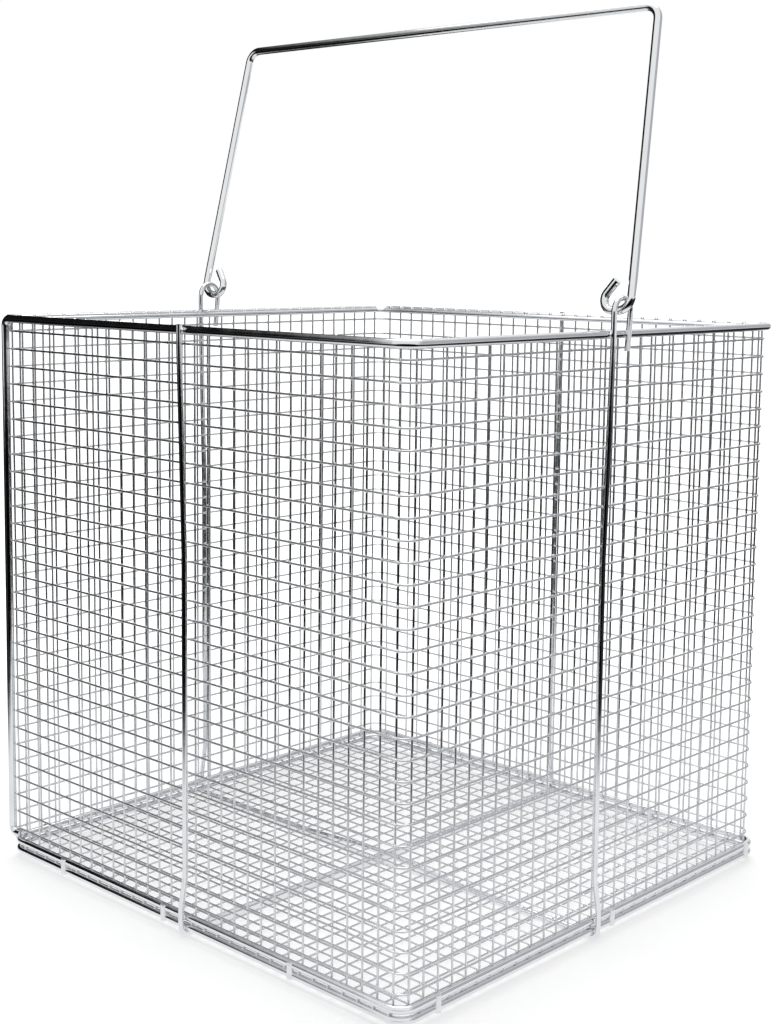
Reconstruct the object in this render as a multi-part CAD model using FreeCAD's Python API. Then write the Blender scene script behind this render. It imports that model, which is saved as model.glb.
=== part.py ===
"""Open wire basket with a swinging bail, in millimetres, +Z up.

The basket stands on the four loops its two carrying rods make under the
lower base ring, so z = 0 is the underside of those loops. The corner towards
+X and -Y is the one that faces a viewer; +X and -X carry the eyes of the bail.
"""
import FreeCAD, Part
import math
import os

V = FreeCAD.Vector

# Stock
mesh_d = 1.1             # drawn wire of the walls and the base
rim_d = 4.5              # rod of the rim and of the seam post it turns down into
inner_d = 3.0            # rod along the inside of the rim
ring_d = 4.0             # rod of the two base rings
carry_d = 3.0            # rod of the hanger and the brace
bail_d = 4.5             # rod of the bail
sink = 0.1               # how far two welded wires sink into each other
base_sink = 0.45         # and how far the base wires sink into the rings
rim_bite = 0.6           # and how far the carrying rods sink into the rim

# Mesh
pitch = 10.0             # spacing of all mesh wires
wall_x = 152.5           # from the middle of the basket to the uprights of the X walls
wall_y = 150.0           # and to those of the Y walls, where one more wire closes the seam
first_up = 5.0           # from the +X corners to the first upright of a Y wall
corner_gap = 4.0         # every other upright is at least this far from a corner
row_bend = 7.5           # bend of the level wires round a corner
row_below = 7.0          # the highest level wire lies this far below the rim's centre
row_above = 5.0          # and the lowest at least this far above the centre of the upper base ring
seam_gap = 0.7           # how far both ends of a level wire stop short of the seam corner

# Rings
ring_bend = 9.0          # bend of the rings at the corners
inner_bend = 5.0         # bend of the rod inside the rim
post_bend = 4.0          # bends of the post at the rim and at its foot
post_foot = 8.0          # the foot reaches this far along the upper base ring
rim_butt = 1.7           # its other end stops this far before the centre of that bend
rim_rise = 313.5         # height of the rim's centre

# Sizes that follow from the stock
mesh_r = mesh_d / 2
rim_r = rim_d / 2
inner_r = inner_d / 2
ring_r = ring_d / 2
carry_r = carry_d / 2
row_off = mesh_d - sink                          # level wires lie outside the uprights
ring_off = mesh_r + ring_r - sink                # rings are welded to the uprights' outer side
wrap_r = ring_r + carry_r - sink                 # carrying rods pass outside the rings
carry_off = ring_off + wrap_r
rim_off = mesh_r + rim_r - sink
inner_off = mesh_r + inner_r - sink              # inside the uprights
inner_z = rim_rise - rim_r + inner_r             # flush with the rim's underside
top_carry_off = rim_off + rim_r + carry_r - rim_bite
press_off = row_off + mesh_r + carry_r - sink    # and lie on the level wires between them

# Heights of the base stack, from the feet up
foot_z = carry_r
low_ring_z = foot_z + carry_r + ring_r - sink
wire_y_z = low_ring_z + ring_r + mesh_r - base_sink
wire_x_z = wire_y_z + mesh_d - sink
top_ring_z = wire_x_z + mesh_r + ring_r - base_sink
crown_z = wire_y_z - mesh_r - carry_r + sink     # the hanger's rise touches the base wires
floor_z = crown_z - carry_d + sink               # and crosses over the brace at this height

# Rows and ends of the mesh wires
cells_x = 1 + int((2 * wall_x - first_up - corner_gap) // pitch)     # uprights of a Y wall
cells_y = 1 + int((2 * wall_y - 2 * corner_gap) // pitch)            # and of an X wall
top_row_z = rim_rise - row_below
rows = 1 + int((top_row_z - top_ring_z - row_above) // pitch)
base_past = ring_off + 0.8       # base wires end inside the gap between the two rings
upright_foot = top_ring_z - 1.1
upright_top = rim_rise + 1.2
nugget_r = 1.2                   # weld nugget at the top of each upright
nugget_out = 0.35                # its centre leans this far from the upright to the rim

# Seam at the -X, -Y corner, where the rim turns down as a post onto the upper base ring
post_x = wall_x + rim_off
post_y = wall_y + rim_off
post_foot_z = top_ring_z + ring_r + rim_r - sink
corner_bite = 0.5                # how far the corner wire's foot sinks into the base ring

# Carrying rods
eye_r = 7.0              # centre radius of the eye, half the distance of its legs
eye_over = 11.2          # its centre is this far above the rim's
short_leg_under = 8.5    # cut end of the eye's short leg below the rim's centre
short_leg_lean = 5.8     # degrees that leg leans in towards the long one
slant_from = 5.5         # a leg begins to slant in this far below the rim's centre
slant_to = 113.5         # and lies on the level wires from here down
bow_foot = (32.0, 15.0)  # heights between which it bows out again above the rings
bow_bend = 20.0
wrap_past = 5.0          # degrees the rod wraps the ring beyond its lowest point
hanger_crown = 60.0      # half length of the hanger's rise over the brace
crown_flat = 8.0         # half length of the level piece on top of it
brace_x = wall_x - first_up - pitch * (cells_x // 2 - 0.5)   # midway between two uprights
brace_over = 0.75        # its ends stand this far above the rim's top
eye_z = rim_rise + eye_over
short_leg_z = rim_rise - short_leg_under
brace_top = rim_rise + rim_r + brace_over

# Ring ties: places along the side of the weld beads in the groove between the base rings
tie_d = 3.8
tie_off = 1.0            # a bead's centre lies this far outside the rings' centres
tie_past = 1.6           # and its ends this far beyond them in height
tie_cut = 6.0            # length of ring that each bead is fitted to
ties_y_side = (-103.5, -14.5, 82.5)
ties_x_side = (-129.0, 8.0, 141.0)

# Bail, drawn upright in its own plane: x across, s up from the pivot line
bail_lean = 11.5         # degrees towards +Y in the rest pose
bail_height = 156.0      # pivot line to the centre of the bar
leg_gap = 0.9            # air between the outside of an eye and the leg beside it
leg_slant = 3.4          # degrees each leg leans inwards
bar_bend = 7.5
hook_width = 16.5        # centre distance of the hook's two sides
hook_bend = 7.5
inside_bend = 5.5
hook_rise = 7.5          # height of the bend that turns the tip back
tip_bend = 5.0
tip_across = 6.0         # tip's travel across after that bend
tip_up = 7.8             # and its travel up
hook_climb = 2.4         # the hook has risen this much where it passes under the eye's crown
eye_clear = 0.3          # air between the hook and the crown of the eye
pivot_z = eye_z + eye_r - carry_r - bail_d / 2 - eye_clear - hook_climb
leg_foot = wall_x + top_carry_off + carry_r + leg_gap + bail_d / 2

out_dir = "parts"


def corner_arc(before, at, after, radius):
    """Start, middle and end of the arc that rounds one corner of a path."""
    back = (before - at).normalize()
    on = (after - at).normalize()
    half = back.getAngle(on) / 2
    reach = radius / math.tan(half)
    centre = at + (back + on).normalize() * (radius / math.sin(half))
    middle = centre + (at - centre).normalize() * radius
    return at + back * reach, middle, at + on * reach


def open_path(points, radii):
    """Edges through the points, rounded at every inner one."""
    edges = []
    last = points[0]
    for k, radius in enumerate(radii, 1):
        start, middle, end = corner_arc(points[k - 1], points[k], points[k + 1], radius)
        edges.append(Part.LineSegment(last, start).toShape())
        edges.append(Part.Arc(start, middle, end).toShape())
        last = end
    edges.append(Part.LineSegment(last, points[-1]).toShape())
    return edges


def frame_path(off, bend, z):
    """Edges of a closed frame with rounded corners, this far outside the uprights."""
    x = wall_x + off
    y = wall_y + off
    corners = [V(x, -y, z), V(x, y, z), V(-x, y, z), V(-x, -y, z)]
    arcs = []
    for k in range(4):
        arcs.append(corner_arc(corners[k - 1], corners[k], corners[(k + 1) % 4], bend))
    edges = []
    for k in range(4):
        start, middle, end = arcs[k]
        edges.append(Part.Arc(start, middle, end).toShape())
        edges.append(Part.LineSegment(end, arcs[(k + 1) % 4][0]).toShape())
    return edges


def rod(edges, diameter):
    """Round rod along a chain of edges."""
    path = Part.Wire(edges)
    first = edges[0]
    start = first.valueAt(first.FirstParameter)
    ahead = first.tangentAt(first.FirstParameter)
    profile = Part.Wire(Part.Circle(start, ahead, diameter / 2).toShape())
    return path.makePipeShell([profile], True, False)


def straight(start, end, diameter):
    """Straight round wire between two points."""
    along = end - start
    return Part.makeCylinder(diameter / 2, along.Length, start, along)


def ring(z):
    """One closed base ring."""
    return rod(frame_path(ring_off, ring_bend, z), ring_d)


def rim():
    """Rim rod: round all four walls from the seam corner, then down as the seam post."""
    x, y = post_x, post_y
    start = V(-x, rim_butt - y, rim_rise)
    half_way = V(0, -y, rim_rise)
    corners = [V(-x, y, rim_rise), V(x, y, rim_rise), V(x, -y, rim_rise)]
    round_walls = rod(open_path([start] + corners + [half_way], [ring_bend] * 3), rim_d)
    foot = [V(-x, -y, post_foot_z), V(post_foot - x, -y, post_foot_z)]
    down = rod(open_path([half_way, V(-x, -y, rim_rise)] + foot, [post_bend] * 2), rim_d)
    return round_walls.fuse(down).removeSplitter()


def rim_inner():
    """Closed rod inside the rim; the uprights end between the two."""
    return rod(frame_path(-inner_off, inner_bend, inner_z), inner_d)


def places_x():
    """Places along X of the uprights of the Y walls."""
    return [wall_x - first_up - pitch * k for k in range(cells_x)]


def places_y():
    """Places along Y of the uprights of the X walls."""
    first = -pitch * (cells_y - 1) / 2
    return [first + pitch * k for k in range(cells_y)]


def upright(x, y, nx, ny):
    """Upright wire with its weld nugget; (nx, ny) points out of the basket."""
    wire = straight(V(x, y, upright_foot), V(x, y, upright_top), mesh_d)
    centre = V(x + nx * nugget_out, y + ny * nugget_out, upright_top)
    return wire.fuse(Part.makeSphere(nugget_r, centre)).removeSplitter()


def uprights_y(side):
    """All uprights of the wall towards -Y or +Y."""
    return [upright(x, side * wall_y, 0, side) for x in places_x()]


def uprights_x(side):
    """All uprights of the wall towards -X or +X."""
    return [upright(side * wall_x, y, side, 0) for y in places_y()]


def corner_wire():
    """Wire at the seam corner, from the base ring's bend up to the rim."""
    low = V(-wall_x, -wall_y, top_ring_z + ring_r - corner_bite)
    return straight(low, V(-wall_x, -wall_y, upright_top), mesh_d)


def level_wire(z):
    """Level wire round all four walls, from the seam corner back to it."""
    x = wall_x + row_off
    y = wall_y + row_off
    points = [V(seam_gap - x, -y, z), V(x, -y, z), V(x, y, z), V(-x, y, z), V(-x, seam_gap - y, z)]
    return rod(open_path(points, [row_bend] * 3), mesh_d)


def level_wires(first, last):
    """Level wires from number first to number last, counted down from the rim."""
    return [level_wire(top_row_z - pitch * k) for k in range(first, last)]


def base_wires_along_x():
    """Base wires that run in X, half a pitch off the uprights."""
    reach = wall_x + base_past
    wires = []
    for k in range(1, cells_y):
        y = pitch * (k - cells_y / 2)
        wires.append(straight(V(-reach, y, wire_x_z), V(reach, y, wire_x_z), mesh_d))
    return wires


def base_wires_along_y():
    """Base wires that run in Y, one below each upright."""
    reach = wall_y + base_past
    wires = []
    for x in places_x():
        wires.append(straight(V(x, -reach, wire_y_z), V(x, reach, wire_y_z), mesh_d))
    return wires


def side_leg(top, wall):
    """Side profile of one carrying rod as (out, z) pairs, from its top to the rings."""
    beside_rim = wall + top_carry_off
    outer = wall + carry_off
    inner = wall + press_off
    pairs = [(beside_rim, top), (beside_rim, rim_rise - slant_from), (inner, rim_rise - slant_to)]
    pairs += [(inner, bow_foot[0]), (outer, bow_foot[1]), (outer, low_ring_z)]
    return pairs


def around_ring(wall, degrees):
    """Point of the rod's bend round the lower ring, at this angle below level."""
    angle = math.radians(degrees)
    return wall + ring_off + wrap_r * math.cos(angle), low_ring_z - wrap_r * math.sin(angle)


def half_carrier(top, wall, place):
    """Edges of one leg from its top, under the lower ring, to the level part."""
    leg = [place(out, z) for out, z in side_leg(top, wall)]
    edges = open_path(leg, [bow_bend] * 4)
    middle = around_ring(wall, (90 + wrap_past) / 2)
    leave = around_ring(wall, 90 + wrap_past)
    edges.append(Part.Arc(leg[-1], place(*middle), place(*leave)).toShape())
    run = (floor_z - leave[1]) / math.tan(math.radians(wrap_past))
    return edges, place(*leave), place(leave[0] - run, floor_z)


def eye(side):
    """Edges of one eye: its short leg and its crown."""
    x = side * (wall_x + top_carry_off)
    lean = math.radians(short_leg_lean)
    spring = V(x, eye_r * math.cos(lean), eye_z - eye_r * math.sin(lean))
    cut = V(x, spring.y - (spring.z - short_leg_z) * math.tan(lean), short_leg_z)
    land = V(x, -eye_r, eye_z)
    crown = Part.Arc(spring, V(x, 0, eye_z + eye_r), land)
    return [Part.LineSegment(cut, spring).toShape(), crown.toShape()]


def hanger_rod():
    """Rod with an eye above each X wall, passing under the basket between them."""
    near, leave, level = half_carrier(eye_z, wall_x, lambda out, z: V(out, -eye_r, z))
    far, far_leave, far_level = half_carrier(eye_z, wall_x, lambda out, z: V(-out, -eye_r, z))
    steps = [(hanger_crown, floor_z), (crown_flat, crown_z)]
    steps += [(-crown_flat, crown_z), (-hanger_crown, floor_z)]
    points = [V(brace_x + off, -eye_r, z) for off, z in steps]
    middle = open_path([leave, level] + points + [far_level, far_leave], [bow_bend] * 6)
    return rod(chain(eye(1) + near + middle + far + eye(-1)), carry_d)


def brace_rod():
    """Rod down both Y walls and straight under the base."""
    near, leave, level = half_carrier(brace_top, wall_y, lambda out, z: V(brace_x, -out, z))
    far, far_leave, far_level = half_carrier(brace_top, wall_y, lambda out, z: V(brace_x, out, z))
    middle = open_path([leave, level, far_level, far_leave], [bow_bend] * 2)
    return rod(chain(near + middle + far), carry_d)


def chain(edges):
    """The same edges, all pointing one way along the path."""
    return Part.__sortEdges__(edges)


def tie(x, y, along):
    """Weld bead in the groove between the two base rings, which run along this way."""
    bead = straight(V(x, y, low_ring_z - tie_past), V(x, y, top_ring_z + tie_past), tie_d)
    inward = along.cross(V(0, 0, 1)) * tie_off
    for z in (low_ring_z, top_ring_z):
        middle = V(x, y, z) + inward
        bead = bead.cut(straight(middle - along * tie_cut, middle + along * tie_cut, ring_d - 2 * sink))
    return bead


def ties_on_y(side):
    """Ties of the wall towards -Y or +Y."""
    y = side * (wall_y + ring_off + tie_off)
    return [tie(x, y, V(side, 0, 0)) for x in ties_y_side]


def ties_on_x(side):
    """Ties of the wall towards -X or +X."""
    x = side * (wall_x + ring_off + tie_off)
    return [tie(x, y, V(0, -side, 0)) for y in ties_x_side]


def bail_side(side):
    """Points and bends of one side of the bail, from the hook's tip to the bar."""
    slant = math.tan(math.radians(leg_slant))
    inside = leg_foot - hook_width
    pairs = [(inside + tip_across, hook_rise + tip_up), (inside, hook_rise), (inside, 0)]
    pairs += [(leg_foot, 0), (leg_foot - slant * bail_height, bail_height)]
    return [V(side * x, 0, pivot_z + s) for x, s in pairs]


def bail():
    """Bail with an open hook at the foot of each leg, leaning in the rest pose."""
    bends = [tip_bend, inside_bend, hook_bend, bar_bend]
    points = bail_side(1) + list(reversed(bail_side(-1)))
    shape = rod(open_path(points, bends + list(reversed(bends))), bail_d)
    shape.rotate(V(0, 0, pivot_z), V(1, 0, 0), -bail_lean)
    return shape


def save(name, shapes):
    """Write one node, a single solid or a group of separate ones."""
    solids = []
    for shape in shapes:
        solids += shape.Solids
    shape = solids[0] if len(solids) == 1 else Part.Compound(solids)
    shape.exportStep(os.path.join(out_dir, name + ".step"))
    print(name, len(solids), "solids", round(shape.Volume), "mm3", shape.isValid())


def main():
    """Build every node and write its STEP file."""
    os.makedirs(out_dir, exist_ok=True)
    save("rim_ring", [rim()])
    save("rim_inner", [rim_inner()])
    save("base_ring_upper", [ring(top_ring_z)])
    save("base_ring_lower", [ring(low_ring_z)])
    save("corner_wire", [corner_wire()])
    save("uprights_front", uprights_y(-1))
    save("uprights_right", uprights_x(1))
    save("uprights_back", uprights_y(1))
    save("uprights_left", uprights_x(-1))
    save("level_wires_upper", level_wires(0, rows // 3))
    save("level_wires_middle", level_wires(rows // 3, 2 * rows // 3))
    save("level_wires_lower", level_wires(2 * rows // 3, rows))
    save("base_wires_along_x", base_wires_along_x())
    save("base_wires_along_y", base_wires_along_y())
    save("hanger_rod", [hanger_rod()])
    save("brace_rod", [brace_rod()])
    save("ring_ties_front", ties_on_y(-1))
    save("ring_ties_right", ties_on_x(1))
    save("ring_ties_back", ties_on_y(1))
    save("ring_ties_left", ties_on_x(-1))
    save("bail_handle", [bail()])


main()
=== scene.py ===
"""Looks of the wire basket: drawn mesh wires, weld nuggets and bright rods of stainless steel.

The classes hold their sizes in millimetres, in the CAD part's own frame: z = 0 is the
ground, X runs along the bail's pivot line and the rim turns down at the -X, -Y corner.
A mesh gets its metres where it is made.
"""

import logging
import math
from dataclasses import dataclass, field
from enum import Enum
from typing import Any, Sequence

import bpy
import numpy as np
from mathutils import Matrix, Vector

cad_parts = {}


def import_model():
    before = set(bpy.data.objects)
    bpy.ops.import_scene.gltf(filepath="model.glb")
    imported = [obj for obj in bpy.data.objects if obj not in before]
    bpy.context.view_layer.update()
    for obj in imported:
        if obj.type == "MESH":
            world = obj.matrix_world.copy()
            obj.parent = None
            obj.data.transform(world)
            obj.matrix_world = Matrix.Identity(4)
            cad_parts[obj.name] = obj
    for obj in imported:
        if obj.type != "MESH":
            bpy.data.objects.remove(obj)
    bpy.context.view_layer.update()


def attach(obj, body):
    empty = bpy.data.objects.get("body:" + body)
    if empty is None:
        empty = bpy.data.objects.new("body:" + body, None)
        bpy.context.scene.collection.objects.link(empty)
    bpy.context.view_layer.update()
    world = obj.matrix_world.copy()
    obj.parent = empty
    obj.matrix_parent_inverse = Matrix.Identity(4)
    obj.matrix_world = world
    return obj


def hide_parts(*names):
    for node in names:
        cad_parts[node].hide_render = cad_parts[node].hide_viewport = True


MM = 0.001
log = logging.getLogger("basket")


def linear(colour: str) -> tuple[float, float, float, float]:
    """Linear RGBA of an sRGB hex colour.

    Args:
        colour: six hex digits with a leading #.

    Returns:
        Red, green, blue and an alpha of one.
    """
    parts = [int(colour[k:k + 2], 16) / 255 for k in (1, 3, 5)]
    red, green, blue = (c / 12.92 if c <= 0.04045 else ((c + 0.055) / 1.055) ** 2.4 for c in parts)
    return red, green, blue, 1.0


def add(tree: bpy.types.NodeTree, kind: str, settings: dict[str, Any] | None = None,
        **sockets: Any) -> bpy.types.Node:
    """Add one node with its settings and links.

    Args:
        tree: the tree that gets the node.
        kind: the node's type name.
        settings: the node's own properties.
        sockets: inputs by name, or by number as in _0, each a value or an output to link.

    Returns:
        The new node.
    """
    node = tree.nodes.new(kind)
    for key, value in (settings or {}).items():
        setattr(node, key, value)
    for key, value in sockets.items():
        socket = node.inputs[int(key[1:])] if key[0] == "_" else node.inputs[key.replace("_", " ")]
        if isinstance(value, bpy.types.NodeSocket):
            tree.links.new(value, socket)
        else:
            socket.default_value = value
    return node


def maths(tree: bpy.types.NodeTree, operation: str, *values: Any) -> bpy.types.NodeSocket:
    """Add one sum on numbers.

    Args:
        tree: the tree that gets the node.
        operation: what it does with them.
        values: numbers or outputs to link.

    Returns:
        Its result.
    """
    given = {f"_{k}": value for k, value in enumerate(values)}
    return add(tree, "ShaderNodeMath", {"operation": operation}, **given).outputs[0]


def socket(tree: bpy.types.NodeTree, name: str, kind: str, way: str = "INPUT") -> str:
    """Add one socket to the outside of a tree.

    Args:
        tree: the tree.
        name: the socket's name.
        kind: what it carries.
        way: whether it is an input or an output.

    Returns:
        Its identifier.
    """
    return tree.interface.new_socket(name, in_out=way, socket_type="NodeSocket" + kind).identifier


def blend(tree: bpy.types.NodeTree, value: Any, start: float, end: float, first: float,
          last: float) -> bpy.types.NodeSocket:
    """Add a smooth step.

    Args:
        tree: the tree that gets the node.
        value: the output that drives it.
        start, end: between which of its values the step lies.
        first, last: result before and after the step.

    Returns:
        Its result.
    """
    step = add(tree, "ShaderNodeMapRange", {"interpolation_type": "SMOOTHSTEP"}, Value=value,
               From_Min=start, From_Max=end, To_Min=first, To_Max=last)
    return step.outputs["Result"]


class Body(Enum):
    """The two bodies of the part."""

    BASKET = "basket"
    BAIL = "bail"


class Slot(Enum):
    """Material slots of the record."""

    MESH = "mesh_wire"
    FRAME = "frame_rod"
    BAIL = "bail_rod"


@dataclass(frozen=True)
class SteelFinish:
    """A bright surface of stainless steel.

    Attributes:
        name: what the metal is and how its surface was made.
        pale: colour of the clean metal; for the welds it is painted paler, as a painted highlight.
        dull: colour where the polish is thinner.
        gloss: roughness of the brightest and the dullest places.
        patch: width of a patch of one colour, in mm.
        ripple: spacing of the waves left in the surface, in mm.
        ripple_depth: their height, in mm.
    """

    name: str
    pale: str
    dull: str
    gloss: tuple[float, float]
    patch: float
    ripple: float
    ripple_depth: float

    def material(self) -> bpy.types.Material:
        """Build the material from these values."""
        made = bpy.data.materials.new(self.name)
        made.use_nodes = True
        tree = made.node_tree
        tree.nodes.clear()
        place = add(tree, "ShaderNodeTexCoord").outputs["Object"]
        cloud = add(tree, "ShaderNodeTexNoise", Vector=place, Scale=1 / (self.patch * MM), Detail=3.0)
        tint = add(tree, "ShaderNodeMix", {"data_type": "RGBA"}, _0=cloud.outputs["Fac"], _6=linear(self.pale),
                   _7=linear(self.dull))
        wave = add(tree, "ShaderNodeTexNoise", Vector=place, Scale=1 / (self.ripple * MM), Detail=2.0)
        low, high = self.gloss
        rough = add(tree, "ShaderNodeMapRange", Value=cloud.outputs["Fac"], From_Min=0.35, From_Max=0.65,
                    To_Min=low, To_Max=high)
        bump = add(tree, "ShaderNodeBump", Height=wave.outputs["Fac"], Strength=1.0,
                   Distance=self.ripple_depth * MM)
        steel = add(tree, "ShaderNodeBsdfPrincipled", Base_Color=tint.outputs[2], Metallic=1.0,
                    Roughness=rough.outputs["Result"], Normal=bump.outputs["Normal"])
        add(tree, "ShaderNodeOutputMaterial", Surface=steel.outputs["BSDF"])
        return made


# Drawn wire, welded and then electropolished: bright, with the faint length waves of drawing.
DRAWN_WIRE = SteelFinish("Electropolished drawn steel wire", "#E2E4E6", "#C6C9CC", (0.14, 0.24), 6.0, 5.0, 0.03)
# Thicker rod, electropolished: clear reflections that wander along the rod.
POLISHED_ROD = SteelFinish("Electropolished steel rod", "#E8EAEC", "#D6D8DB", (0.05, 0.12), 14.0, 9.0, 0.05)
# Spring-hard rod of the bail: the same polish, a little smoother.
BAIL_ROD = SteelFinish("Polished steel bail rod", "#EBEDEE", "#DCDEE0", (0.04, 0.10), 18.0, 12.0, 0.05)
# Resistance weld: metal pressed out hot and polished with the wire, so lumpy; its colour is painted paler than
# the wire's, a painted highlight that makes each weld show as a bright glint.
WELD_NUGGET = SteelFinish("Electropolished spot weld", "#F0F1F2", "#D8D9DB", (0.25, 0.40), 1.5, 0.9, 0.08)


@dataclass(frozen=True)
class Path:
    """The centreline of a rod.

    Attributes:
        points: its places in mm.
        closed: whether it joins up.
        swell: factor on the rod's radius at each place, or None.
    """

    points: np.ndarray
    closed: bool = False
    swell: tuple[float, ...] | None = None


@dataclass
class Stock:
    """Wire and rod sizes and the places that follow from them, as in the CAD part."""

    mesh_d: float = 1.1
    rim_d: float = 4.5
    inner_d: float = 3.0
    ring_d: float = 4.0
    carry_d: float = 3.0
    bail_d: float = 4.5
    tie_d: float = 3.8
    sink: float = 0.1
    base_sink: float = 0.45
    rim_bite: float = 0.6

    pitch: float = 10.0
    cells: int = 30
    rows: int = 30
    wall_x: float = 152.5
    wall_y: float = 150.0
    first_up: float = 5.0
    row_foot: float = 16.5
    rim_rise: float = 313.5
    ring_bend: float = 9.0

    @property
    def row_off(self) -> float:
        """How far the level wires lie outside the uprights."""
        return self.mesh_d - self.sink

    @property
    def ring_off(self) -> float:
        """How far the base rings lie outside the uprights."""
        return (self.mesh_d + self.ring_d) / 2 - self.sink

    @property
    def rim_off(self) -> float:
        """How far the rim lies outside the uprights."""
        return (self.mesh_d + self.rim_d) / 2 - self.sink

    @property
    def inner_off(self) -> float:
        """How far the rod inside the rim lies inside the uprights."""
        return (self.mesh_d + self.inner_d) / 2 - self.sink

    @property
    def beside_rim(self) -> float:
        """How far a carrying rod lies outside the uprights beside the rim."""
        return self.rim_off + (self.rim_d + self.carry_d) / 2 - self.rim_bite

    @property
    def wrap(self) -> float:
        """Distance of a carrying rod from the ring that it wraps."""
        return (self.ring_d + self.carry_d) / 2 - self.sink

    @property
    def press_off(self) -> float:
        """How far a carrying rod lies outside the uprights where it rests on the level wires."""
        return self.row_off + (self.mesh_d + self.carry_d) / 2 - self.sink

    @property
    def low_ring_z(self) -> float:
        """Height of the lower base ring."""
        return self.carry_d + self.ring_d / 2 - self.sink

    @property
    def wire_y_z(self) -> float:
        """Height of the base wires that run in Y."""
        return self.low_ring_z + (self.ring_d + self.mesh_d) / 2 - self.base_sink

    @property
    def wire_x_z(self) -> float:
        """Height of the base wires that run in X."""
        return self.wire_y_z + self.mesh_d - self.sink

    @property
    def top_ring_z(self) -> float:
        """Height of the upper base ring."""
        return self.wire_x_z + (self.mesh_d + self.ring_d) / 2 - self.base_sink

    @property
    def crown_z(self) -> float:
        """Height of the hanger's rise, which touches the base wires."""
        return self.wire_y_z - (self.mesh_d + self.carry_d) / 2 + self.sink

    @property
    def floor_z(self) -> float:
        """Height of the carrying rods under the base."""
        return self.crown_z - self.carry_d + self.sink

    def places_x(self) -> list[float]:
        """Places along X of the uprights of the Y walls."""
        return [self.wall_x - self.first_up - self.pitch * k for k in range(self.cells)]

    def places_y(self) -> list[float]:
        """Places along Y of the uprights of the X walls."""
        return [self.pitch * (k - (self.cells - 1) / 2) for k in range(self.cells)]

    def row_heights(self) -> list[float]:
        """Heights of the level wires."""
        return [self.row_foot + self.pitch * k for k in range(self.rows)]


def corner(before: np.ndarray, at: np.ndarray, after: np.ndarray, radius: float, steps: int) -> np.ndarray:
    """Points of the arc that rounds one corner.

    Args:
        before: the point before the corner.
        at: the corner.
        after: the point after it.
        radius: radius of the arc in mm.
        steps: number of pieces that the arc is cut into.

    Returns:
        The arc's points, ends included.
    """
    back = (before - at) / np.linalg.norm(before - at)
    on = (after - at) / np.linalg.norm(after - at)
    half = math.acos(float(np.clip(back @ on, -1, 1))) / 2
    mid = (back + on) / np.linalg.norm(back + on)
    centre = at + mid * (radius / math.sin(half))
    first = at + back * (radius / math.tan(half)) - centre
    last = at + on * (radius / math.tan(half)) - centre
    turn = math.pi - 2 * half
    parts = [k / steps for k in range(steps + 1)]
    return np.array([centre + (first * math.sin((1 - t) * turn) + last * math.sin(t * turn)) / math.sin(turn)
                     for t in parts])


def spaced(points: np.ndarray, step: float, closed: bool) -> np.ndarray:
    """Cut the long pieces of a path so that none is longer than a step.

    Args:
        points: the path's points in mm.
        step: longest piece in mm.
        closed: whether the last point joins the first.

    Returns:
        The path with the added points.
    """
    out = []
    count = len(points)
    for k in range(count if closed else count - 1):
        start, end = points[k], points[(k + 1) % count]
        cuts = max(1, math.ceil(float(np.linalg.norm(end - start)) / step - 1e-6))
        out += [start + (end - start) * (j / cuts) for j in range(cuts)]
    if not closed:
        out.append(points[-1])
    return np.array(out)


def bent(points: Sequence[Sequence[float]], radii: Sequence[float], step: float, steps: int = 6) -> Path:
    """An open path, rounded at every inner point.

    Args:
        points: its corners in mm.
        radii: the bend at each inner corner.
        step: longest straight piece in mm.
        steps: pieces in each bend.

    Returns:
        The path.
    """
    at = [np.array(p, float) for p in points]
    out = [at[0][None]]
    for k, radius in enumerate(radii, 1):
        out.append(corner(at[k - 1], at[k], at[k + 1], radius, steps))
    out.append(at[-1][None])
    return Path(spaced(np.concatenate(out), step, False))


def framed(stock: Stock, off: float, bend: float, z: float, step: float) -> Path:
    """A closed frame with rounded corners.

    Args:
        stock: the basket's sizes.
        off: how far outside the uprights it runs.
        bend: radius of its corners.
        z: its height.
        step: longest straight piece.

    Returns:
        The path.
    """
    x, y = stock.wall_x + off, stock.wall_y + off
    at = [np.array(p, float) for p in ((x, -y, z), (x, y, z), (-x, y, z), (-x, -y, z))]
    arcs = [corner(at[k - 1], at[k], at[(k + 1) % 4], bend, 8) for k in range(4)]
    return Path(spaced(np.concatenate(arcs), step, True), True)


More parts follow.
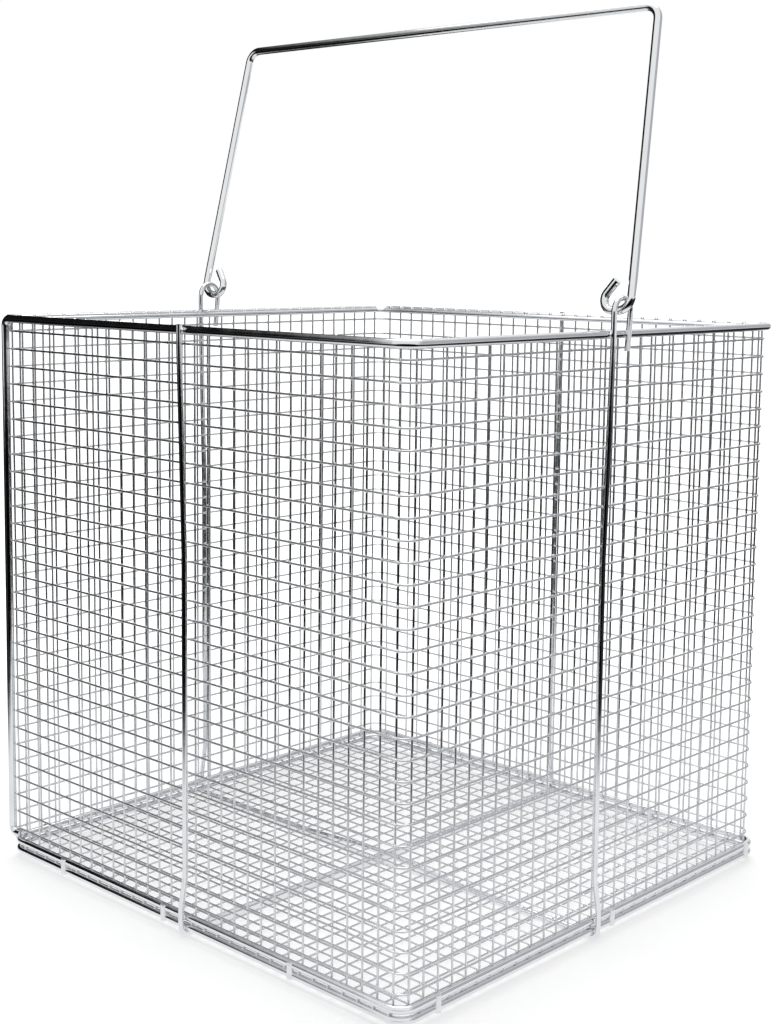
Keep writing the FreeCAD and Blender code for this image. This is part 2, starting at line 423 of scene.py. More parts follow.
class RodTree:
    """Geometry Nodes that sweep a round rod along every path of a mesh of edges."""

    def __init__(self) -> None:
        """Build the tree with its named inputs."""
        tree = bpy.data.node_groups.new("Rod along paths", "GeometryNodeTree")
        socket(tree, "Geometry", "Geometry")
        self.diameter = socket(tree, "Diameter", "Float")
        self.sides = socket(tree, "Sides", "Int")
        self.wander = socket(tree, "Wander", "Float")
        self.reach = socket(tree, "Wander length", "Float")
        self.seed = socket(tree, "Seed", "Float")
        self.finish = socket(tree, "Finish", "Material")
        socket(tree, "Geometry", "Geometry", "OUTPUT")
        given = add(tree, "NodeGroupInput").outputs
        curve = add(tree, "GeometryNodeMeshToCurve", Mesh=given["Geometry"])
        rate = maths(tree, "DIVIDE", 1.0, given["Wander length"])
        noise = add(tree, "ShaderNodeTexNoise", {"noise_dimensions": "4D"}, Scale=rate, W=given["Seed"],
                    Detail=1.0)
        level = add(tree, "ShaderNodeVectorMath", {"operation": "SUBTRACT"}, _0=noise.outputs["Color"],
                    _1=(0.5, 0.5, 0.5))
        drift = add(tree, "ShaderNodeVectorMath", {"operation": "SCALE"}, _0=level.outputs[0],
                    Scale=given["Wander"])
        moved = add(tree, "GeometryNodeSetPosition", Geometry=curve.outputs[0], Offset=drift.outputs[0])
        radius = maths(tree, "MULTIPLY", given["Diameter"], 0.5)
        circle = add(tree, "GeometryNodeCurvePrimitiveCircle", Resolution=given["Sides"], Radius=radius)
        tube = add(tree, "GeometryNodeCurveToMesh", Curve=moved.outputs[0], Profile_Curve=circle.outputs[0],
                   Fill_Caps=True)
        smooth = add(tree, "GeometryNodeSetShadeSmooth", Geometry=tube.outputs[0], Shade_Smooth=True)
        angle = add(tree, "GeometryNodeInputMeshEdgeAngle")
        steep = maths(tree, "GREATER_THAN", angle.outputs["Unsigned Angle"], 1.0)
        crisp = add(tree, "GeometryNodeSetShadeSmooth", {"domain": "EDGE"}, Geometry=smooth.outputs[0],
                    Selection=steep, Shade_Smooth=False)
        real = add(tree, "GeometryNodeRealizeInstances", Geometry=crisp.outputs[0])
        dressed = add(tree, "GeometryNodeSetMaterial", Geometry=real.outputs[0], Material=given["Finish"])
        add(tree, "NodeGroupOutput", _0=dressed.outputs[0])
        self.tree = tree


class NuggetTree:
    """Geometry Nodes that set a weld nugget on every point, as large as the point says."""

    def __init__(self) -> None:
        """Build the tree with its named inputs."""
        tree = bpy.data.node_groups.new("Weld nuggets on points", "GeometryNodeTree")
        socket(tree, "Geometry", "Geometry")
        self.around = socket(tree, "Faces around", "Int")
        self.uneven = socket(tree, "Uneven", "Float")
        self.seed = socket(tree, "Seed", "Int")
        self.finish = socket(tree, "Finish", "Material")
        socket(tree, "Geometry", "Geometry", "OUTPUT")
        given = add(tree, "NodeGroupInput").outputs
        ball = add(tree, "GeometryNodeMeshUVSphere", Segments=given["Faces around"], Rings=4, Radius=1.0)
        size = add(tree, "GeometryNodeInputNamedAttribute", {"data_type": "FLOAT_VECTOR"}, Name="size")
        least = maths(tree, "SUBTRACT", 1.0, given["Uneven"])
        most = maths(tree, "ADD", 1.0, given["Uneven"])
        vary = add(tree, "FunctionNodeRandomValue", {"data_type": "FLOAT"}, _2=least, _3=most, Seed=given["Seed"])
        scale = add(tree, "ShaderNodeVectorMath", {"operation": "SCALE"}, _0=size.outputs[0],
                    Scale=vary.outputs[1])
        placed = add(tree, "GeometryNodeInstanceOnPoints", Points=given["Geometry"], Instance=ball.outputs[0],
                     Scale=scale.outputs[0])
        real = add(tree, "GeometryNodeRealizeInstances", Geometry=placed.outputs[0])
        smooth = add(tree, "GeometryNodeSetShadeSmooth", Geometry=real.outputs[0], Shade_Smooth=True)
        dressed = add(tree, "GeometryNodeSetMaterial", Geometry=smooth.outputs[0], Material=given["Finish"])
        add(tree, "NodeGroupOutput", _0=dressed.outputs[0])
        self.tree = tree


@dataclass
class Workshop:
    """What the sub-assemblies share: the stock, the trees and the finished materials."""

    stock: Stock = field(default_factory=Stock)

    def __post_init__(self) -> None:
        """Build the trees and the materials once."""
        self.rods = RodTree()
        self.nuggets = NuggetTree()
        self.finishes = {f.name: f.material() for f in (DRAWN_WIRE, POLISHED_ROD, BAIL_ROD, WELD_NUGGET)}

    def plain(self, name: str, source: bpy.types.Mesh, tree: bpy.types.NodeTree, inputs: dict[str, Any],
              material: bpy.types.Material) -> bpy.types.Object:
        """Run a tree over a mesh and keep the result as a plain mesh.

        Args:
            name: name of the piece.
            source: the mesh that the tree starts from.
            tree: the tree.
            inputs: its inputs by socket identifier.
            material: the finish of the result.

        Returns:
            The piece, at the origin.
        """
        carrier = bpy.data.objects.new(name + "_paths", source)
        bpy.context.scene.collection.objects.link(carrier)
        modifier = carrier.modifiers.new("Shape", "NODES")
        modifier.node_group = tree
        for key, value in inputs.items():
            modifier[key] = value
        bpy.context.view_layer.update()
        graph = bpy.context.evaluated_depsgraph_get()
        mesh = bpy.data.meshes.new_from_object(carrier.evaluated_get(graph), depsgraph=graph)
        carrier.modifiers.remove(modifier)
        bpy.data.objects.remove(carrier)
        mesh.name = name
        mesh.materials.clear()
        mesh.materials.append(material)
        piece = bpy.data.objects.new(name, mesh)
        bpy.context.scene.collection.objects.link(piece)
        return piece

    def swept(self, name: str, paths: Sequence[Path], diameter: float, sides: int, finish: SteelFinish,
              wander: float = 0.0, reach: float = 40.0, seed: float = 0.0) -> bpy.types.Object:
        """Round rods along paths.

        Args:
            name: name of the piece.
            paths: the centrelines in mm.
            diameter: the rod's diameter in mm.
            sides: faces around it.
            finish: its steel.
            wander: how far it strays from its path, in mm.
            reach: over what length it strays.
            seed: which of the possible strays is taken.

        Returns:
            The piece.
        """
        points, edges, swell = [], [], []
        for path in paths:
            first, count = len(points), len(path.points)
            points += [tuple(p * MM) for p in path.points]
            edges += [(first + k, first + k + 1) for k in range(count - 1)]
            if path.closed:
                edges.append((first + count - 1, first))
            swell += path.swell or (1.0,) * count
        mesh = bpy.data.meshes.new(name + "_paths")
        mesh.from_pydata(points, edges, [])
        mesh.attributes.new("radius", "FLOAT", "POINT").data.foreach_set("value", swell)
        rods = self.rods
        material = self.finishes[finish.name]
        inputs = {rods.diameter: diameter * MM, rods.sides: sides, rods.wander: wander * MM,
                  rods.reach: reach * MM, rods.seed: seed, rods.finish: material}
        return self.plain(name, mesh, rods.tree, inputs, material)

    def welded(self, name: str, places: Sequence[Sequence[float]], sizes: Sequence[Sequence[float]],
               around: int = 8, uneven: float = 0.15, seed: int = 1) -> bpy.types.Object:
        """Weld nuggets on points.

        Args:
            name: name of the piece.
            places: their centres in mm.
            sizes: their half sizes along X, Y and Z in mm.
            around: faces around each.
            uneven: how much they differ in size.
            seed: which of the possible mixes of sizes is taken.

        Returns:
            The piece.
        """
        mesh = bpy.data.meshes.new(name + "_points")
        mesh.from_pydata((np.array(places) * MM).tolist(), [], [])
        half = (np.array(sizes, np.float32) * MM).ravel()
        mesh.attributes.new("size", "FLOAT_VECTOR", "POINT").data.foreach_set("vector", half)
        nuggets = self.nuggets
        # The weld finish is painted paler than the wire, a painted highlight.
        material = self.finishes[WELD_NUGGET.name]
        inputs = {nuggets.around: around, nuggets.uneven: uneven, nuggets.seed: seed, nuggets.finish: material}
        return self.plain(name, mesh, nuggets.tree, inputs, material)


@dataclass
class SubAssembly:
    """A set of pieces that ride on one body."""

    shop: Workshop
    body: Body = Body.BASKET

    def dress(self, piece: bpy.types.Object, slot: Slot, *nodes: str) -> None:
        """Let a piece ride on the body and stand for its CAD nodes.

        Args:
            piece: the piece.
            slot: the record's material slot that it is made of; not used.
            nodes: the CAD nodes that it stands for.
        """
        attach(piece, self.body.value)
        if nodes:
            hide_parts(*nodes)
        log.info("%s: %d faces", piece.name, len(piece.data.polygons))


@dataclass
class MeshWalls(SubAssembly):
    """Uprights and level wires of the four walls, with the welds at their crossings.

    Attributes:
        row_bend: bend of a level wire at the corners.
        seam_gap: how far its ends stop short of the seam corner.
        foot_above_ring, top_above_rim: ends of the uprights.
        corner_bite: how far the corner wire's foot sinks into the base ring.
        rim_nugget, rim_nugget_out: radius of the nugget on an upright and how far it leans out.
        crossing: half width and half depth of the weld at a crossing.
        sides: faces round a wire.
        wander, reach: how far a wire strays from its line, and over what length.
    """

    row_bend: float = 7.5
    seam_gap: float = 0.7
    foot_above_ring: float = -1.1
    top_above_rim: float = 1.2
    corner_bite: float = 0.5
    rim_nugget: float = 1.2
    rim_nugget_out: float = 0.35
    crossing: tuple[float, float] = (0.95, 0.75)
    sides: int = 10
    wander: float = 0.25
    reach: float = 30.0

    def feet(self) -> list[tuple[float, float, int, int]]:
        """Place and outward side of every upright, as x, y, nx, ny."""
        stock = self.shop.stock
        out = [(x, side * stock.wall_y, 0, side) for side in (-1, 1) for x in stock.places_x()]
        return out + [(side * stock.wall_x, y, side, 0) for side in (-1, 1) for y in stock.places_y()]

    def build(self) -> None:
        """Make the walls."""
        stock = self.shop.stock
        low = stock.top_ring_z + self.foot_above_ring
        high = stock.rim_rise + self.top_above_rim
        paths = [bent([(x, y, low), (x, y, high)], [], stock.pitch) for x, y, _, _ in self.feet()]
        foot = stock.top_ring_z + stock.ring_d / 2 - self.corner_bite
        seam = (-stock.wall_x, -stock.wall_y)
        paths.append(bent([(*seam, foot), (*seam, high)], [], stock.pitch))
        uprights = self.shop.swept("wall_uprights", paths, stock.mesh_d, self.sides, DRAWN_WIRE, self.wander,
                                   self.reach, seed=2.0)
        self.dress(uprights, Slot.MESH, "uprights_front", "uprights_right", "uprights_back", "uprights_left",
                   "corner_wire")
        rows = [self.row(z) for z in stock.row_heights()]
        levels = self.shop.swept("wall_level_wires", rows, stock.mesh_d, self.sides, DRAWN_WIRE, self.wander,
                                 self.reach, seed=7.0)
        self.dress(levels, Slot.MESH, "level_wires_upper", "level_wires_middle", "level_wires_lower")
        self.dress(self.crossings(), Slot.MESH)
        self.dress(self.rim_nuggets(), Slot.MESH)

    def row(self, z: float) -> Path:
        """One level wire from the seam corner round all walls and back to it."""
        stock = self.shop.stock
        x, y = stock.wall_x + stock.row_off, stock.wall_y + stock.row_off
        points = [(self.seam_gap - x, -y, z), (x, -y, z), (x, y, z), (-x, y, z), (-x, self.seam_gap - y, z)]
        return bent(points, [self.row_bend] * 3, stock.pitch)

    def crossings(self) -> bpy.types.Object:
        """The welds where an upright and a level wire cross."""
        stock = self.shop.stock
        wide, deep = self.crossing
        places, sizes = [], []
        for x, y, nx, ny in self.feet():
            for z in stock.row_heights():
                places.append((x + nx * stock.row_off / 2, y + ny * stock.row_off / 2, z))
                sizes.append((deep if nx else wide, deep if ny else wide, wide))
        return self.shop.welded("crossing_welds", places, sizes)

    def rim_nuggets(self) -> bpy.types.Object:
        """The welds at the tops of the uprights, on the rim's inner side."""
        z = self.shop.stock.rim_rise + self.top_above_rim
        out = self.rim_nugget_out
        places = [(x + nx * out, y + ny * out, z) for x, y, nx, ny in self.feet()]
        sizes = [(self.rim_nugget,) * 3] * len(places)
        return self.shop.welded("rim_welds", places, sizes, around=10, uneven=0.12, seed=3)


@dataclass
class BaseMesh(SubAssembly):
    """The two layers of wires of the base.

    Attributes:
        past: how far the wires run beyond the rings' centres.
        weld: half sizes of the weld at a crossing.
        sides: faces round a wire.
        wander, reach: how far a wire strays from its line, and over what length.
    """

    past: float = 0.8
    weld: tuple[float, float, float] = (0.95, 0.95, 0.75)
    sides: int = 10
    wander: float = 0.25
    reach: float = 30.0

    def layer(self, name: str, ends: Sequence[tuple[Sequence[float], Sequence[float]]], seed: float,
              node: str) -> None:
        """Make one layer.

        Args:
            name: name of the piece.
            ends: both ends of every wire.
            seed: which of the possible strays the wires take.
            node: the CAD node that the piece stands for.
        """
        stock = self.shop.stock
        paths = [bent(pair, [], stock.pitch) for pair in ends]
        piece = self.shop.swept(name, paths, stock.mesh_d, self.sides, DRAWN_WIRE, self.wander, self.reach, seed)
        self.dress(piece, Slot.MESH, node)

    def build(self) -> None:
        """Make the base."""
        stock = self.shop.stock
        reach_x = stock.wall_x + stock.ring_off + self.past
        reach_y = stock.wall_y + stock.ring_off + self.past
        rows = [stock.pitch * (k - stock.cells / 2) for k in range(1, stock.cells)]
        upper, lower = stock.wire_x_z, stock.wire_y_z
        along_x = [((-reach_x, y, upper), (reach_x, y, upper)) for y in rows]
        along_y = [((x, -reach_y, lower), (x, reach_y, lower)) for x in stock.places_x()]
        self.layer("base_wires_upper", along_x, 11.0, "base_wires_along_x")
        self.layer("base_wires_lower", along_y, 13.0, "base_wires_along_y")
        places = [(x, y, (upper + lower) / 2) for x in stock.places_x() for y in rows]
        welds = self.shop.welded("base_welds", places, [self.weld] * len(places), around=6, seed=5)
        self.dress(welds, Slot.MESH)


@dataclass
class RodFrame(SubAssembly):
    """Rim with the seam post, the rod inside it, base rings, carrying rods and ring ties.

    Attributes:
        eye_r, eye_z: radius of an eye and height of its centre.
        short_leg_z, short_leg_lean: cut end of an eye's short leg, and its lean in degrees.
        inner_bend, post_bend, post_foot, rim_butt: bends and ends of the rim, as in the CAD part.
        bow_top, bow_foot, bow_bend: heights between which a leg slants, and its bends.
        wrap_past: degrees by which a carrying rod wraps the ring beyond its lowest point.
        hanger_crown, crown_flat, brace_x: where the hanger rises over the brace.
        tie_off, tie_past, ties_y_side, ties_x_side: places and ends of the ring ties.
        seam_blob: place and size of each lump of the weld under the seam corner.
        sides, wander, reach: faces round a rod, how far it strays, and over what length.
        ring_step, leg_step: longest straight piece of a ring and of a leg.
    """

    eye_r: float = 7.0
    eye_z: float = 324.7
    short_leg_z: float = 305.0
    short_leg_lean: float = 5.8
    inner_bend: float = 5.0
    post_bend: float = 4.0
    post_foot: float = 8.0
    rim_butt: float = 1.7
    bow_top: tuple[float, float] = (308.0, 200.0)
    bow_foot: tuple[float, float] = (32.0, 15.0)
    bow_bend: float = 20.0
    wrap_past: float = 5.0
    hanger_crown: float = 60.0
    crown_flat: float = 8.0
    brace_x: float = 2.5
    brace_above_rim: float = 0.75
    tie_off: float = 1.0
    tie_past: float = 1.6
    ties_y_side: tuple[float, ...] = (-103.5, -14.5, 82.5)
    ties_x_side: tuple[float, ...] = (-129.0, 8.0, 141.0)
    seam_blob: tuple[tuple[float, float, float, float], ...] = (
        (0.4, 1.9, -1.2, 2.3), (1.4, 1.8, -3.2, 1.8), (1.0, 2.0, -5.4, 1.5), (2.2, 1.0, -2.4, 1.6))
    sides: int = 28
    wander: float = 0.2
    reach: float = 60.0
    ring_step: float = 15.0
    leg_step: float = 12.0

    def build(self) -> None:
        """Make the frame."""
        stock = self.shop.stock
        for name, z in (("base_ring_upper", stock.top_ring_z), ("base_ring_lower", stock.low_ring_z)):
            path = framed(stock, stock.ring_off, stock.ring_bend, z, self.ring_step)
            self.rod(name + "_rod", path, stock.ring_d, z, name)
        self.rod("rim_and_post_rod", self.rim(), stock.rim_d, 0.0, "rim_ring")
        inner_z = stock.rim_rise - (stock.rim_d - stock.inner_d) / 2
        inner = framed(stock, -stock.inner_off, self.inner_bend, inner_z, self.ring_step)
        piece = self.shop.swept("rim_inner_rod", [inner], stock.inner_d, 20, POLISHED_ROD, wander=0.15,
                                reach=self.reach, seed=5.0)
        self.dress(piece, Slot.FRAME, "rim_inner")
        self.rod("hanger_with_eyes", self.hanger(), stock.carry_d, 0.0, "hanger_rod")
        self.rod("brace", self.brace(), stock.carry_d, 4.0, "brace_rod")
        self.dress(self.ties(), Slot.FRAME, "ring_ties_front", "ring_ties_right", "ring_ties_back",
                   "ring_ties_left")
        self.dress(self.rod_welds(), Slot.FRAME)

    def rod(self, name: str, path: Path, diameter: float, seed: float, node: str) -> None:
        """Make one rod of the frame.

        Args:
            name: name of the piece.
            path: its centreline.
            diameter: its diameter.
            seed: which of the possible strays it takes.
            node: the CAD node that it stands for.
        """
        piece = self.shop.swept(name, [path], diameter, self.sides, POLISHED_ROD, self.wander, self.reach, seed)
        self.dress(piece, Slot.FRAME, node)

    def rim(self) -> Path:
        """The rim round all walls, which turns down at the seam corner as the post."""
        stock = self.shop.stock
        x, y, z = stock.wall_x + stock.rim_off, stock.wall_y + stock.rim_off, stock.rim_rise
        foot = stock.top_ring_z + (stock.ring_d + stock.rim_d) / 2 - stock.sink
        points = [(-x, self.rim_butt - y, z), (-x, y, z), (x, y, z), (x, -y, z), (-x, -y, z), (-x, -y, foot),
                  (self.post_foot - x, -y, foot)]
        return bent(points, [stock.ring_bend] * 3 + [self.post_bend] * 2, self.ring_step, 8)

    def half(self, top: float, wall: float) -> list[tuple[float, float]]:
        """Side profile of one leg as (out, z) pairs, from its top to the level part under the base.

        Args:
            top: height of the leg's top.
            wall: distance of the uprights of this wall from the middle.

        Returns:
            The profile, rounded.
        """
        stock = self.shop.stock
        beside_rim = wall + stock.beside_rim
        outer = wall + stock.ring_off + stock.wrap
        inner = wall + stock.press_off
        pairs = [(beside_rim, top), (beside_rim, self.bow_top[0]), (inner, self.bow_top[1]),
                 (inner, self.bow_foot[0]), (outer, self.bow_foot[1]), (outer, stock.low_ring_z)]
        leg = bent([(out, 0, z) for out, z in pairs], [self.bow_bend] * 4, self.leg_step).points
        profile = [(p[0], p[2]) for p in leg]
        for k in range(1, 9):
            angle = math.radians((90 + self.wrap_past) * k / 8)
            profile.append((wall + stock.ring_off + stock.wrap * math.cos(angle),
                            stock.low_ring_z - stock.wrap * math.sin(angle)))
        return profile

    def level(self, profile: list[tuple[float, float]]) -> float:
        """How far out the leg that ends this profile reaches the level part."""
        out, z = profile[-1]
        return out - (self.shop.stock.floor_z - z) / math.tan(math.radians(self.wrap_past))

    def hanger(self) -> Path:
        """The rod with an eye above each X wall."""
        stock = self.shop.stock
        profile = self.half(self.eye_z, stock.wall_x)
        level = self.level(profile)
        out = stock.wall_x + stock.beside_rim
        lean = math.radians(self.short_leg_lean)
        eye = []
        for k in range(17):
            angle = -lean + (math.pi + lean) * k / 16
            eye.append((out, self.eye_r * math.cos(angle), self.eye_z + self.eye_r * math.sin(angle)))
        _, spring_y, spring_z = eye[0]
        eye.insert(0, (out, spring_y - (spring_z - self.short_leg_z) * math.tan(lean), self.short_leg_z))
        near = eye + [(o, -self.eye_r, z) for o, z in profile[1:]]
        low, high = stock.floor_z, stock.crown_z
        steps = [(self.hanger_crown, low), (self.crown_flat, high), (-self.crown_flat, high),
                 (-self.hanger_crown, low)]
        middle = [(level, -self.eye_r, low)]
        middle += [(self.brace_x + off, -self.eye_r, z) for off, z in steps]
        middle.append((-level, -self.eye_r, low))
        far = [(-x, y, z) for x, y, z in reversed(near)]
        return Path(spaced(np.array(near + middle + far), self.leg_step, False))

    def brace(self) -> Path:
        """The rod down both Y walls and under the base."""
        stock = self.shop.stock
        profile = self.half(stock.rim_rise + stock.rim_d / 2 + self.brace_above_rim, stock.wall_y)
        level = self.level(profile)
        near = [(self.brace_x, -o, z) for o, z in profile]
        middle = [(self.brace_x, -level, stock.floor_z), (self.brace_x, level, stock.floor_z)]
        far = [(x, -y, z) for x, y, z in reversed(near)]
        return Path(spaced(np.array(near + middle + far), self.leg_step, False))

    def ties(self) -> bpy.types.Object:
        """The weld beads in the groove between the two base rings."""
        stock = self.shop.stock
        off = stock.ring_off + self.tie_off
        low, high = stock.low_ring_z - self.tie_past, stock.top_ring_z + self.tie_past
        feet = [(x, side * (stock.wall_y + off)) for side in (-1, 1) for x in self.ties_y_side]
        feet += [(side * (stock.wall_x + off), y) for side in (-1, 1) for y in self.ties_x_side]
        parts = (0.0, 0.04, 0.12, 0.24, 0.5, 0.76, 0.88, 0.96, 1.0)
        swell = (0.7, 0.82, 0.94, 1.0, 1.0, 1.0, 0.94, 0.82, 0.7)
        paths = [Path(np.array([(x, y, low + (high - low) * t) for t in parts]), False, swell) for x, y in feet]
        # The beads take the weld finish, painted paler than the wire as a painted highlight.
        return self.shop.swept("base_ring_ties", paths, stock.tie_d, 20, WELD_NUGGET)

    def rod_welds(self) -> bpy.types.Object:
        """The welds where a carrying rod meets a ring or presses on a level wire, and at the seam."""
        stock = self.shop.stock
        places, sizes = [], []
        rim = (stock.rim_off + stock.rim_d / 2, stock.rim_rise)
        rings = [(stock.ring_off + stock.ring_d / 2, z) for z in (stock.top_ring_z, stock.low_ring_z)]
        press = stock.row_off + stock.mesh_d / 2
        for side in (-1, 1):
            wall = side * stock.wall_x
            for x, y, nx, ny in ((wall, -self.eye_r, side, 0), (wall, self.eye_r, side, 0),
                                 (self.brace_x, side * stock.wall_y, 0, side)):
                short = y == self.eye_r
                for touch, z in [rim] if short else [rim] + rings:
                    places.append((x + nx * touch, y + ny * touch, z))
                    sizes.append((0.9 if nx else 1.9, 0.9 if ny else 1.9, 1.3))
                for z in [] if short else stock.row_heights():
                    if self.bow_foot[0] < z < self.bow_top[1]:
                        places.append((x + nx * press, y + ny * press, z))
                        sizes.append((0.5 if nx else 1.3, 0.5 if ny else 1.3, 0.8))
        x, y = -stock.wall_x - stock.rim_off, -stock.wall_y - stock.rim_off
        for dx, dy, dz, size in self.seam_blob:
            places.append((x + dx, y + dy, stock.rim_rise + dz))
            sizes.append((size, size, size))
        places.append((x + 2.0, y + 2.0, stock.top_ring_z + 0.6))
        sizes.append((1.5, 1.5, 1.7))
        return self.shop.welded("rod_welds", places, sizes, around=10, uneven=0.12, seed=9)


@dataclass
class Bail(SubAssembly):
    """The swinging bail with an open hook at the foot of each leg, as in the CAD part."""

    body: Body = Body.BAIL
    lean: float = 11.5
    height: float = 156.0
    leg_gap: float = 0.9
    slant: float = 3.4
    bar_bend: float = 7.5
    hook_width: float = 16.5
    hook_bend: float = 7.5
    inside_bend: float = 5.5
    hook_rise: float = 7.5
    tip_bend: float = 5.0
    tip_across: float = 6.0
    tip_up: float = 7.8
    pivot_z: float = 325.25

    def build(self) -> None:
        """Make the bail."""
        stock = self.shop.stock
        foot = stock.wall_x + stock.beside_rim + stock.carry_d / 2 + self.leg_gap + stock.bail_d / 2
        inside = foot - self.hook_width
        shoulder = foot - math.tan(math.radians(self.slant)) * self.height
        pairs = [(inside + self.tip_across, self.hook_rise + self.tip_up), (inside, self.hook_rise), (inside, 0),
                 (foot, 0), (shoulder, self.height)]
        lean = math.radians(self.lean)
        flat = pairs + [(-x, s) for x, s in reversed(pairs)]
        points = [(x, s * math.sin(lean), self.pivot_z + s * math.cos(lean)) for x, s in flat]
        bends = [self.tip_bend, self.inside_bend, self.hook_bend, self.bar_bend]
        path = bent(points, bends + bends[::-1], step=12.0, steps=10)
        piece = self.shop.swept("swinging_bail", [path], stock.bail_d, sides=32, finish=BAIL_ROD)
        self.dress(piece, Slot.BAIL, "bail_handle")


@dataclass(frozen=True)
class RoomPatch:
    """A soft-edged patch of the room that the steel mirrors.

    Attributes:
        colour: its colour.
        azimuth, elevation: direction of its middle in degrees, azimuth from +X towards +Y.
        half_width, half_height: its reach in degrees.
        soft: part of the reach over which it fades.
    """

    colour: str
    azimuth: float
    elevation: float
    half_width: float
    half_height: float
    soft: float


@dataclass(frozen=True)
class FloorPatch:
    """A dark sector of the floor round the basket that the steel mirrors.

    Attributes:
        azimuth, half_width: its middle direction and its reach to either side, in degrees.
        near, far: distances in metres over which it fades in and out again.
        soft: degrees over which it fades at either side.
        depth: the part of the light that it takes.
    """

    azimuth: float
    half_width: float
    near: tuple[float, float]
    far: tuple[float, float]
    soft: float = 7.0
    depth: float = 0.97


@dataclass
class Studio:
    """Floor, light and camera.

    Attributes:
        focal: focal length in pixels of the 773 by 1024 picture.
        centre_y: row of the picture that the camera's axis meets.
        eye: place of the camera in mm.
        azimuth, elevation, roll: its turns in degrees.
        tall: rows of the picture.
        floor_half: half width of the floor in metres.
        lift: distances in metres between which the floor's own white grows, and its strength there.
        fill: strength of the white room as a light on the object.
        softbox, softbox_aim: places in metres of the lamp and of what it is turned to.
        patches, sectors: the dark places of the room and of the floor that the steel mirrors.
    """

    focal: float = 1602.1
    centre_y: float = 432.1
    eye: tuple[float, float, float] = (623.7, -661.5, 353.5)
    azimuth: float = 43.44
    elevation: float = 6.44
    roll: float = -0.63
    tall: int = 1024
    floor_half: float = 15.0
    lift: tuple[float, float, float, float] = (0.2, 0.7, 0.34, 0.75)
    fill: float = 0.65
    softbox: tuple[float, float, float] = (-0.3, 0.2, 1.8)
    softbox_aim: tuple[float, float, float] = (0.0, 0.0, 0.2)
    patches: tuple[RoomPatch, ...] = (
        RoomPatch("#BCBCC0", 47.0, 0.0, 46.0, 50.0, 0.35),
        RoomPatch("#101012", -58.0, -8.0, 46.0, 14.0, 0.14),
        RoomPatch("#121214", 180.0, 0.0, 52.0, 47.0, 0.14),
    )
    sectors: tuple[FloorPatch, ...] = (
        FloorPatch(-36.0, 117.0, (0.34, 0.6), (2.0, 4.6)),
        FloorPatch(-58.0, 43.0, (0.34, 0.6), (40.0, 50.0)),
        FloorPatch(180.0, 49.0, (0.4, 0.6), (40.0, 50.0)),
    )

    def build(self) -> None:
        """Set the whole stage."""
        self.camera()
        self.floor()
        self.world()
        self.lamps()
        bpy.context.scene.view_settings.view_transform = "Standard"

    def camera(self) -> None:
        """Place the camera as the photograph's was."""
        az, el, roll = (math.radians(v) for v in (self.azimuth, self.elevation, self.roll))
        ahead = Vector((-math.sin(az) * math.cos(el), math.cos(az) * math.cos(el), -math.sin(el)))
        right = Vector((math.cos(az), math.sin(az), 0))
        down = ahead.cross(right)
        across = right * math.cos(roll) + down * math.sin(roll)
        below = down * math.cos(roll) - right * math.sin(roll)
        data = bpy.data.cameras.new("Camera")
        data.lens = self.focal / self.tall * data.sensor_width
        data.shift_y = (self.centre_y - self.tall / 2) / self.tall
        data.clip_start, data.clip_end = 0.01, 100
        camera = bpy.data.objects.new("Camera", data)
        turn = Matrix((across, -below, -ahead)).transposed().to_4x4()
        camera.matrix_world = Matrix.Translation(Vector(self.eye) * MM) @ turn
        bpy.context.scene.collection.objects.link(camera)
        bpy.context.scene.camera = camera

    def floor(self) -> None:
        """A pale floor that goes over into the white background and keeps the soft shadow."""
        half = self.floor_half
        corners = [(-half, -half, 0), (half, -half, 0), (half, half, 0), (-half, half, 0)]
        mesh = bpy.data.meshes.new("floor")
        mesh.from_pydata(corners, [], [(0, 1, 2, 3)])
        floor = bpy.data.objects.new("floor", mesh)
        bpy.context.scene.collection.objects.link(floor)
        made = bpy.data.materials.new("Matt white sweep")
        made.use_nodes = True
        tree = made.node_tree
        tree.nodes.clear()
        matt = add(tree, "ShaderNodeBsdfDiffuse", Color=linear("#EDEDED"))
        place = add(tree, "ShaderNodeTexCoord").outputs["Object"]
        off = add(tree, "ShaderNodeVectorMath", {"operation": "LENGTH"}, _0=place).outputs["Value"]
        glow = add(tree, "ShaderNodeEmission", Color=(1, 1, 1, 1), Strength=blend(tree, off, *self.lift))
        both = add(tree, "ShaderNodeAddShader", _0=matt.outputs[0], _1=glow.outputs[0])
        ray = add(tree, "ShaderNodeLightPath")
        shown = add(tree, "ShaderNodeMixShader", _0=ray.outputs["Is Camera Ray"], _1=matt.outputs[0],
                    _2=both.outputs[0])
        pale: bpy.types.NodeSocket | float = 1.0
        for sector in self.sectors:
            pale = maths(tree, "MULTIPLY", pale, self.spared(tree, place, off, sector))
        mirrored = add(tree, "ShaderNodeEmission", Color=(1, 1, 1, 1), Strength=pale)
        pick = add(tree, "ShaderNodeMixShader", _0=ray.outputs["Is Glossy Ray"], _1=shown.outputs[0],
                   _2=mirrored.outputs[0])
        add(tree, "ShaderNodeOutputMaterial", Surface=pick.outputs[0])
        mesh.materials.append(made)

    def aside(self, tree: bpy.types.NodeTree, parts: Sequence[bpy.types.NodeSocket],
              azimuth: float) -> bpy.types.NodeSocket:
        """How far a direction is turned from an azimuth.

        Args:
            tree: the tree that gets the nodes.
            parts: the direction's X and Y.
            azimuth: the azimuth in degrees.

        Returns:
            The turn in radians, from minus half a turn to half a turn.
        """
        turn = maths(tree, "ARCTAN2", parts[1], parts[0])
        off = maths(tree, "SUBTRACT", turn, math.radians(azimuth))
        return maths(tree, "WRAP", off, math.pi, -math.pi)

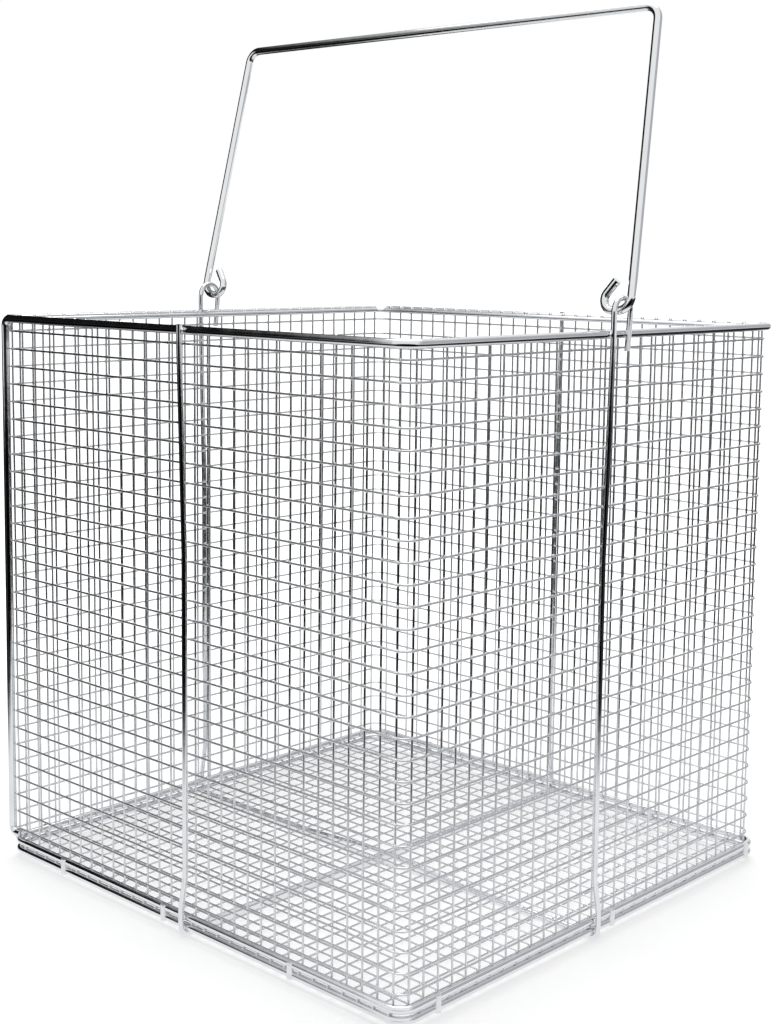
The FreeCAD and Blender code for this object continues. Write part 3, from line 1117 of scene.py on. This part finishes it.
    def spared(self, tree: bpy.types.NodeTree, place: bpy.types.NodeSocket, off: bpy.types.NodeSocket,
               sector: FloorPatch) -> bpy.types.NodeSocket:
        """How much light one dark sector leaves at a place of the floor.

        Args:
            tree: the floor's tree.
            place: the place in metres.
            off: its distance from the middle of the floor.
            sector: the sector.

        Returns:
            Nearly nought inside the sector, one outside it.
        """
        parts = add(tree, "ShaderNodeSeparateXYZ", _0=place).outputs
        turn = maths(tree, "ABSOLUTE", self.aside(tree, parts, sector.azimuth))
        soft = math.radians(sector.soft)
        half = math.radians(sector.half_width)
        inside = maths(tree, "MULTIPLY", sector.depth, blend(tree, turn, half - soft, half + soft, 1.0, 0.0))
        inside = maths(tree, "MULTIPLY", inside, blend(tree, off, *sector.near, 0.0, 1.0))
        inside = maths(tree, "MULTIPLY", inside, blend(tree, off, *sector.far, 1.0, 0.0))
        return maths(tree, "SUBTRACT", 1.0, inside)

    def inside(self, tree: bpy.types.NodeTree, way: bpy.types.NodeSocket,
               patch: RoomPatch) -> bpy.types.NodeSocket:
        """How far a direction lies inside one patch of the room.

        Args:
            tree: the world's tree.
            way: the direction.
            patch: the patch.

        Returns:
            One inside the patch, nought outside it.
        """
        parts = add(tree, "ShaderNodeSeparateXYZ", _0=way).outputs
        above = maths(tree, "SUBTRACT", maths(tree, "ARCSINE", parts[2]), math.radians(patch.elevation))
        wide = maths(tree, "DIVIDE", self.aside(tree, parts, patch.azimuth), math.radians(patch.half_width))
        high = maths(tree, "DIVIDE", above, math.radians(patch.half_height))
        both = add(tree, "ShaderNodeCombineXYZ", _0=wide, _1=high)
        far = add(tree, "ShaderNodeVectorMath", {"operation": "LENGTH"}, _0=both.outputs[0])
        return blend(tree, far.outputs["Value"], 1 - patch.soft, 1 + patch.soft, 1.0, 0.0)

    def world(self) -> None:
        """White room with dark patches, which draw the black lines in the steel."""
        world = bpy.data.worlds.new("Studio")
        bpy.context.scene.world = world
        world.use_nodes = True
        tree = world.node_tree
        tree.nodes.clear()
        way = add(tree, "ShaderNodeTexCoord").outputs["Generated"]
        room = add(tree, "ShaderNodeRGB").outputs[0]
        room.default_value = (1.0, 1.0, 1.0, 1)
        for patch in self.patches:
            room = add(tree, "ShaderNodeMix", {"data_type": "RGBA"}, _0=self.inside(tree, way, patch), _6=room,
                       _7=linear(patch.colour)).outputs[2]
        ray = add(tree, "ShaderNodeLightPath")
        fill = add(tree, "ShaderNodeBackground", Color=(1, 1, 1, 1), Strength=self.fill)
        mirror = add(tree, "ShaderNodeBackground", Color=room, Strength=1.0)
        white = add(tree, "ShaderNodeBackground", Color=(1, 1, 1, 1), Strength=1.0)
        gloss = add(tree, "ShaderNodeMixShader", _0=ray.outputs["Is Glossy Ray"], _1=fill.outputs[0],
                    _2=mirror.outputs[0])
        final = add(tree, "ShaderNodeMixShader", _0=ray.outputs["Is Camera Ray"], _1=gloss.outputs[0],
                    _2=white.outputs[0])
        add(tree, "ShaderNodeOutputWorld", Surface=final.outputs[0])

    def lamps(self) -> None:
        """One large soft lamp overhead."""
        data = bpy.data.lights.new("Overhead softbox", "AREA")
        data.shape = "DISK"
        data.size = 1.6
        data.energy = 14.0
        lamp = bpy.data.objects.new("Overhead softbox", data)
        lamp.location = self.softbox
        back = Vector(self.softbox) - Vector(self.softbox_aim)
        lamp.rotation_euler = back.to_track_quat("Z", "Y").to_euler()
        bpy.context.scene.collection.objects.link(lamp)


def main() -> None:
    """Build the pieces round the frame."""
    logging.basicConfig(level=logging.INFO, format="%(name)s: %(message)s")
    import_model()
    shop = Workshop()
    for part in (MeshWalls(shop), BaseMesh(shop), RodFrame(shop), Bail(shop)):
        part.build()
    Studio().build()


if __name__ == "__main__":
    main()
